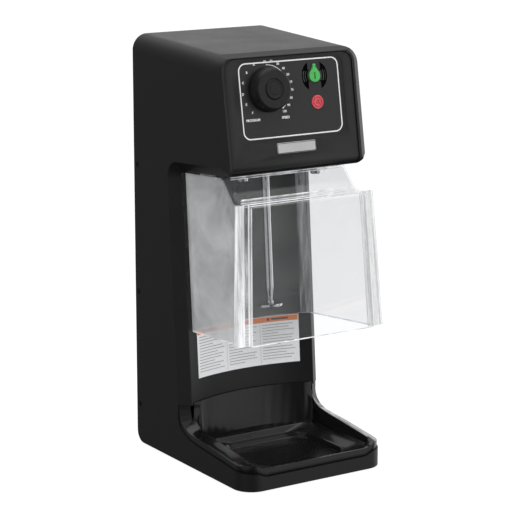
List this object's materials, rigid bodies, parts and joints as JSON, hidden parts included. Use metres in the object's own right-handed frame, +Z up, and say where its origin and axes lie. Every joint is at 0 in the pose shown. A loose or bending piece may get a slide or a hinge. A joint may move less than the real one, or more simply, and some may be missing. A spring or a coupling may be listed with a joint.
{
  "type": "milkshake mixer",
  "caption": "Free-standing spindle drink mixer: C-shaped casing with sloping control panel, clear hanging splash shield over the agitator, and a lift-out drip tray.",
  "frame": {"origin": "middle of the overall box, cord and plug included, at counter level (the underside of the rubber feet)", "axes": "+Z up, -Y towards the user (control panel and tray side), +X to the right seen from the user's side"},
  "size_m": [0.202, 0.286, 0.5],
  "materials": {
    "casing_black": "fine satin moulded texture",
    "cover_black": "satin moulded",
    "bezel_black": "fine satin moulded texture",
    "plate_black": "powder coat",
    "screw_black": "black oxide",
    "zinc_steel": "bright zinc",
    "rubber": "moulded",
    "overlay_film": "fine velvet printed film",
    "badge_plate": "brushed, blank",
    "placard_film": "printed film",
    "board_green": "solder mask",
    "switch_black": "moulded",
    "component_black": "moulded",
    "cast_alloy": "die cast",
    "bearing_steel": "ground",
    "lamination_steel": "stacked laminations",
    "copper": "enamelled copper wire",
    "brass": "turned",
    "carbon": "pressed carbon",
    "polished_steel": "polished stainless",
    "black_anodised": "black anodised",
    "cable_black": "moulded jacket",
    "fan_plastic": "moulded",
    "knob_black": "satin",
    "key_green": "moulded",
    "key_red": "moulded",
    "tray_gloss": "high gloss",
    "clear_sheet": "clear polycarbonate sheet"
  },
  "bodies": {
    "root": {"housing_shell": "casing_black", "rear_cover": "cover_black", "rear_cover_screws": "screw_black", "bottom_plate": "plate_black", "bottom_plate_screws": "zinc_steel", "rubber_feet": "rubber", "front_bezel": "bezel_black", "control_overlay": "overlay_film", "name_badge": "badge_plate", "caution_placard": "placard_film", "control_board": "board_green", "board_screws": "zinc_steel", "start_switch": "switch_black", "stop_switch": "switch_black", "board_components": "component_black", "dial_encoder": "zinc_steel", "motor_isolators": "rubber", "motor_mount_plate": "zinc_steel", "motor_mount_screws": "zinc_steel", "lower_end_bracket": "cast_alloy", "lower_bearing": "bearing_steel", "stator_core": "lamination_steel", "field_windings": "copper", "upper_end_bracket": "cast_alloy", "upper_bearing": "bearing_steel", "motor_through_bolts": "zinc_steel", "brush_holders": "brass", "carbon_brushes": "carbon", "spindle_seal": "rubber", "shield_hanger_studs": "polished_steel", "hanger_nuts": "zinc_steel", "board_standoffs": "brass", "power_board": "board_green", "power_components": "component_black", "heat_sink": "black_anodised", "control_harness": "cable_black", "motor_leads": "cable_black", "cord_grommet": "cable_black", "power_cord": "cable_black", "plug_body": "cable_black", "plug_pins": "brass"},
    "spindle": {"armature_shaft": "bearing_steel", "armature_core": "lamination_steel", "armature_windings": "copper", "commutator": "copper", "cooling_fan": "fan_plastic", "spindle_coupling": "polished_steel", "spindle_shaft": "polished_steel", "agitator": "polished_steel"},
    "dial": {"speed_dial": "knob_black", "dial_cap": "knob_black", "encoder_shaft": "bearing_steel"},
    "start_key": {"start_button": "key_green"},
    "stop_key": {"stop_button": "key_red"},
    "tray": {"drip_tray": "tray_gloss"},
    "shield": {"shield_tub": "clear_sheet", "shield_front": "clear_sheet"}
  },
  "joints": [
    {"name": "spindle_spin", "type": "hinge", "parent": "root", "child": "spindle", "pos_m": [0, -0.03803, 0.27098], "axis": [0, 0.0732, 0.9973], "continuous": true},
    {"name": "dial_turn", "type": "hinge", "parent": "root", "child": "dial", "pos_m": [-0.0305, -0.08661, 0.4509], "axis": [0, -0.9866, 0.1633], "range_deg": [-142, 137]},
    {"name": "start_press", "type": "slide", "parent": "root", "child": "start_key", "axis": [0, 0.9866, -0.1633], "range_m": [0, 0.0012], "stiffness_N_per_m": 400},
    {"name": "stop_press", "type": "slide", "parent": "root", "child": "stop_key", "axis": [0, 0.9866, -0.1633], "range_m": [0, 0.001], "stiffness_N_per_m": 400},
    {"name": "tray_lift", "type": "slide", "parent": "root", "child": "tray", "axis": [0, -0.1392, 0.9903], "range_m": [0, 0.06]},
    {"name": "shield_unhook", "type": "slide", "parent": "root", "child": "shield", "axis": [0, -0.9973, 0.0732], "range_m": [0, 0.0135]}
  ]
}
